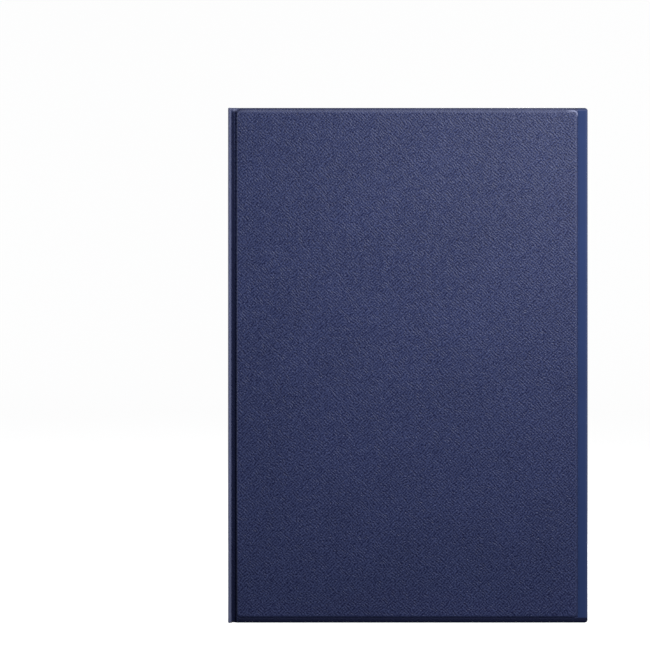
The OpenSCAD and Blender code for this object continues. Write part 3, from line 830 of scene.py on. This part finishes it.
def finish_materials():
    """One material for each of the record's material slots, apart from the leather."""
    return {
        "stiff_board": board_material(),
        "lining": fabric_material("microfibre", (0.012, 0.014, 0.026), (0.034, 0.038, 0.060)),
        "adhesive": plastic_material("adhesive", (0.020, 0.020, 0.022), 0.7, 0.8 * MM, 0.05 * MM),
        "shell_plastic": plastic_material(
            "shell_plastic", (0.010, 0.013, 0.026), 0.42, 0.25 * MM, 0.012 * MM),
        "steel": metal_material("steel", (0.36, 0.37, 0.39), 0.40),
        "magnet": metal_material("nickel", (0.66, 0.65, 0.62), 0.22, "Z"),
        "keyboard_plastic": plastic_material(
            "keyboard_plastic", (0.011, 0.011, 0.013), 0.42, 0.3 * MM, 0.015 * MM),
        "film": clear_material("film", (0.72, 0.76, 0.74), 0.55),
        "silicone": clear_material("silicone", (0.12, 0.12, 0.125), 0.15, 0.6),
        "circuit_board": board_circuit_material(),
        "chip": plastic_material("chip_resin", (0.016, 0.016, 0.017), 0.55, 0.15 * MM, 0.01 * MM),
        "cell_foil": foil_material(),
        "lead_insulation": plastic_material(
            "lead_insulation", (0.25, 0.02, 0.015), 0.45, 0.5 * MM, 0.01 * MM),
        "light_pipe": clear_material("light_pipe", (0.75, 0.85, 0.78), 0.6, 0.3),
        "feet": plastic_material("rubber", (0.020, 0.020, 0.021), 0.80, 0.35 * MM, 0.03 * MM),
        "knob": plastic_material("knob", (0.035, 0.035, 0.038), 0.45, 0.25 * MM, 0.012 * MM),
        "keycap": keycap_plastic,
    }


# ---------------------------------------------------------------- keycaps
KEY_BODIES = {
    "row_space": "keys_space_row", "row_shift": "keys_shift_row", "row_home": "keys_home_row",
    "row_top": "keys_top_row", "row_number": "keys_number_row", "row_function": "keys_function_row",
    "key_space": "space_bar", "key_left_shift": "left_shift", "key_right_shift": "right_shift",
    "key_caps": "caps_lock", "key_enter": "enter", "key_tab": "tab", "key_backspace": "backspace",
    "key_escape": "escape", "key_up": "arrow_up", "key_left": "arrow_left", "key_down": "arrow_down",
    "key_right": "arrow_right"}
# the typist looks along -X with Z falling to the right, so up is -X and left is +Z
ARROWS = {"key_up": 180, "key_down": 0, "key_left": 90, "key_right": 270}
CAP_CORNER = 1.4 * MM
CAP_DISH = 0.16 * MM
# each ring of a cap from its foot up: its inset and its depth below the top, in millimetres
CAP_RINGS = ((0.0, 1.9), (0.03, 1.0), (0.10, 0.52), (0.22, 0.26), (0.40, 0.10), (0.62, 0.03), (0.85, 0.0))
DISH_RINGS = (0.75, 0.5, 0.25)  # shares of the top's size
HOME_KEYS = (3, 6)  # places in the home row of the keys with a bar
# each ring of a bar from its foot up: half its width, half its length and its height, in millimetres
BAR_RINGS = ((0.35, 1.8, -0.2), (0.3, 1.75, 0.05), (0.15, 1.6, 0.14))
BAR_FROM_EDGE = 2.8 * MM
ARROW_R = 1.3 * MM
ARROW_DEPTHS = (0.4 * MM, 0.12 * MM)  # of the mark's foot and face below the cap's top


def islands(obj):
    """The box of each separate solid in a mesh, as x0, x1, y0, y1, z0, z1."""
    bm = bmesh.new()
    bm.from_mesh(obj.data)
    bmesh.ops.remove_doubles(bm, verts=bm.verts, dist=0.01 * MM)
    seen, boxes = set(), []
    for vert in bm.verts:
        if vert in seen:
            continue
        stack, points = [vert], []
        seen.add(vert)
        while stack:
            v = stack.pop()
            points.append(v.co.copy())
            for edge in v.link_edges:
                other = edge.other_vert(v)
                if other not in seen:
                    seen.add(other)
                    stack.append(other)
        low = [min(p[i] for p in points) for i in range(3)]
        high = [max(p[i] for p in points) for i in range(3)]
        boxes.append((low[0], high[0], low[1], high[1], low[2], high[2]))
    bm.free()
    return boxes


def loft(rings, verts, faces):
    """Adds a closed solid through rings of points."""
    around, base = len(rings[0]), len(verts)
    for ring in rings:
        verts += ring
    for r in range(len(rings) - 1):
        for k in range(around):
            a, b = base + r * around + k, base + r * around + (k + 1) % around
            faces.append((a, b, b + around, a + around))
    last = base + (len(rings) - 1) * around
    faces.append([base + k for k in range(around)][::-1])
    faces.append([last + k for k in range(around)])


def cap_points(box):
    """One keycap: a skirt, a rounded shoulder and a gently dished top."""
    x0, x1, _, y_top, z0, z1 = box
    half_x, half_z = (x1 - x0) / 2, (z1 - z0) / 2
    middle_x, middle_z = (x0 + x1) / 2, (z0 + z1) / 2
    rings = []
    for inset, below in CAP_RINGS:
        d = inset * MM
        flat = rounded_ring(x0 + d, x1 - d, z0 + d, z1 - d, CAP_CORNER - 0.6 * d)
        rings.append([(x, y_top - below * MM, z) for x, z in flat])
    top_x, top_z = half_x - d, half_z - d
    for share in DISH_RINGS:
        wide = max(top_x * share, top_x - half_z * (1 - share))
        tall = max(top_z * share, top_z - half_x * (1 - share))
        radius = min(CAP_CORNER * (0.4 + 0.6 * share), wide * 0.9, tall * 0.9)
        flat = rounded_ring(middle_x - wide, middle_x + wide, middle_z - tall, middle_z + tall, radius)
        rings.append([(x, y_top - CAP_DISH * (1 - ((x - middle_x) / half_x) ** 2), z) for x, z in flat])
    return rings


def homing_bar(box):
    """The small raised bar near the front of a home key."""
    _, x1, _, y_top, z0, z1 = box
    middle, place = (z0 + z1) / 2, x1 - BAR_FROM_EDGE
    rings = []
    for half_w, half_l, y in BAR_RINGS:
        wide, long = half_w * MM, half_l * MM
        flat = rounded_ring(place - wide, place + wide, middle - long, middle + long, 0.9 * wide, 3)
        rings.append([(x, y_top + y * MM, z) for x, z in flat])
    return rings


def arrow_mark(box, turn):
    """A small triangle on an arrow key, pointing the way that the typist reads it."""
    x0, x1, _, y_top, z0, z1 = box
    middle_x, middle_z = (x0 + x1) / 2, (z0 + z1) / 2
    corners = []
    for corner in (0, 120, 240):
        a = math.radians(turn + corner)
        corners.append((middle_x + ARROW_R * math.cos(a), middle_z + ARROW_R * math.sin(a)))
    return [[(x, y_top - depth, z) for x, z in corners] for depth in ARROW_DEPTHS]


def keycaps(node, body):
    """All the caps of one key node, as one object on that node's body."""
    verts, faces = [], []
    boxes = sorted(islands(NODES[node]), key=lambda b: -b[4])
    for box in boxes:
        loft(cap_points(box), verts, faces)
    if node == "row_home":
        for place in HOME_KEYS:
            loft(homing_bar(boxes[place]), verts, faces)
    plain = len(faces)
    if node in ARROWS:
        loft(arrow_mark(boxes[0], ARROWS[node]), verts, faces)
    obj = mesh_object(node + "_caps", verts, faces)
    face_outwards(obj)
    obj.data.materials.append(keycap_plastic)
    obj.data.materials.append(mark_ink)
    for polygon in obj.data.polygons[plain:]:
        polygon.material_index = 1
    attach(obj, body)
    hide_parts(node)


# ---------------------------------------------------------------- studio
BROAD_POWER, KEY_POWER = 2.32, 2.15
KEY_X = 0.20  # where the glossy lights stand
FLOOR_GAP = 0.0001  # from the case's foot down to the floor
WORLD_STRENGTH = 0.06
PHOTO_WIDTH = 317.2 * MM  # what the picture spans at the front cover
CASE_RIGHT, CASE_BELOW = 40.5 * MM, 19.7 * MM  # the case's middle, from the picture's middle
LENS = 100.0
SENSOR = 36.0


def make_camera():
    """Head-on, with the case right of and below the picture's middle, as a long lens sees it."""
    data = bpy.data.cameras.new("camera")
    data.lens = LENS
    data.sensor_width = SENSOR
    data.clip_start, data.clip_end = 0.05, 20
    camera = bpy.data.objects.new("camera", data)
    bpy.context.scene.collection.objects.link(camera)
    distance = PHOTO_WIDTH * LENS / SENSOR
    camera.location = ((X0 + X1) / 2 - CASE_RIGHT, Y_FRONT - distance, Z_TOP / 2 + CASE_BELOW)
    camera.rotation_euler = (math.radians(90), 0, 0)
    bpy.context.scene.camera = camera


def studio_floor():
    """A pale round floor that curves up into a wall, wide enough for a camera on any side."""
    radius, fillet, height, sides = 2.2, 0.6, 2.2, 96
    flat_rings, curved_rings = 8, 12
    profile = [(radius * k / flat_rings, 0.0) for k in range(flat_rings)]
    profile += [(radius + fillet * math.sin(a), fillet * (1 - math.cos(a)))
                for a in np.radians(np.linspace(0, 90, curved_rings))]
    profile.append((radius + fillet, height))
    verts = [(r * math.cos(t), r * math.sin(t), z - FLOOR_GAP)
             for r, z in profile[1:] for t in np.linspace(0, 2 * math.pi, sides, endpoint=False)]
    verts.append((0, 0, -FLOOR_GAP))
    faces = []
    for ring in range(len(profile) - 2):
        for s in range(sides):
            a, b = ring * sides + s, ring * sides + (s + 1) % sides
            faces.append((a, a + sides, b + sides, b))
    faces += [(len(verts) - 1, s, (s + 1) % sides) for s in range(sides)]
    floor = mesh_object("studio_floor", verts, faces)
    n = Nodes("studio_white")
    mottling = n.noise(n.coordinates(), 0.4, 2.0)
    colour = n.mix(mottling, (0.30, 0.30, 0.305), (0.32, 0.32, 0.32))
    floor.data.materials.append(n.finish(Base_Color=colour, Roughness=0.9, Specular_IOR_Level=0.0,
                                         Emission_Color=(1.0, 1.0, 1.0), Emission_Strength=0.95))
    # the white floor fills the picture but doesn't light the case from below
    floor.visible_diffuse = False
    floor.visible_glossy = False
    floor.visible_shadow = False


def area_light(name, place, target, size, power):
    data = bpy.data.lights.new(name, "AREA")
    data.shape = "RECTANGLE"
    data.size, data.size_y = size
    data.energy = power
    light = bpy.data.objects.new(name, data)
    bpy.context.scene.collection.objects.link(light)
    light.location = place
    light.rotation_euler = (Vector(target) - Vector(place)).to_track_quat("-Z", "Y").to_euler()
    light.visible_camera = False
    return light


def studio_lights():
    """A broad matt light and a smaller glossy one for each face, both shading off towards the foot."""
    for side, name in ((-1, "front"), (1, "back")):
        broad = area_light(name + "_broad", place=(0.055, side * 0.44, 0.19), target=(0.1, 0, 0.4),
                           size=(0.25, 0.2), power=BROAD_POWER)
        broad.visible_glossy = False
        area_light(name + "_key", place=(KEY_X, side * 0.34, 0.40), target=(0.05, 0, 0.17),
                   size=(0.24, 0.16), power=KEY_POWER)
    area_light("left_edge", place=(-0.9, -0.25, 0.30), target=(0, 0, 0.12), size=(0.25, 0.7), power=4.0)
    area_light("right_edge", place=(0.7, 0.32, 0.30), target=(0, 0, 0.12), size=(0.25, 0.5), power=6.0)
    area_light("top", place=(0.0, 0.0, 1.2), target=(0, 0, 0.1), size=(0.7, 0.7), power=5.0)
    world = bpy.data.worlds.new("studio")
    bpy.context.scene.world = world
    world.use_nodes = True
    background = world.node_tree.nodes["Background"]
    background.inputs["Color"].default_value = (0.9, 0.94, 1.0, 1)
    background.inputs["Strength"].default_value = WORLD_STRENGTH
    settings = bpy.context.scene.view_settings
    settings.view_transform = "Standard"
    settings.look = "None"


# ---------------------------------------------------------------- build
make_camera()
studio_floor()
studio_lights()

leather = leather_material()
mark_ink = plastic_material("key_marking", (0.45, 0.46, 0.47), 0.6, 0.2 * MM, 0.004 * MM)
keycap_plastic = plastic_material("keycap_plastic", (0.024, 0.024, 0.027), 0.46, 0.2 * MM, 0.01 * MM)
for sheet in (front_leather(), flap_leather(), back_leather()):
    sheet.data.materials.clear()
    sheet.data.materials.append(leather)

for key_node, key_body in KEY_BODIES.items():
    keycaps(key_node, key_body)

finishes = finish_materials()
for node in NODES.values():
    for slot in node.material_slots:
        if slot.material and slot.material.name in finishes:
            slot.material = finishes[slot.material.name]
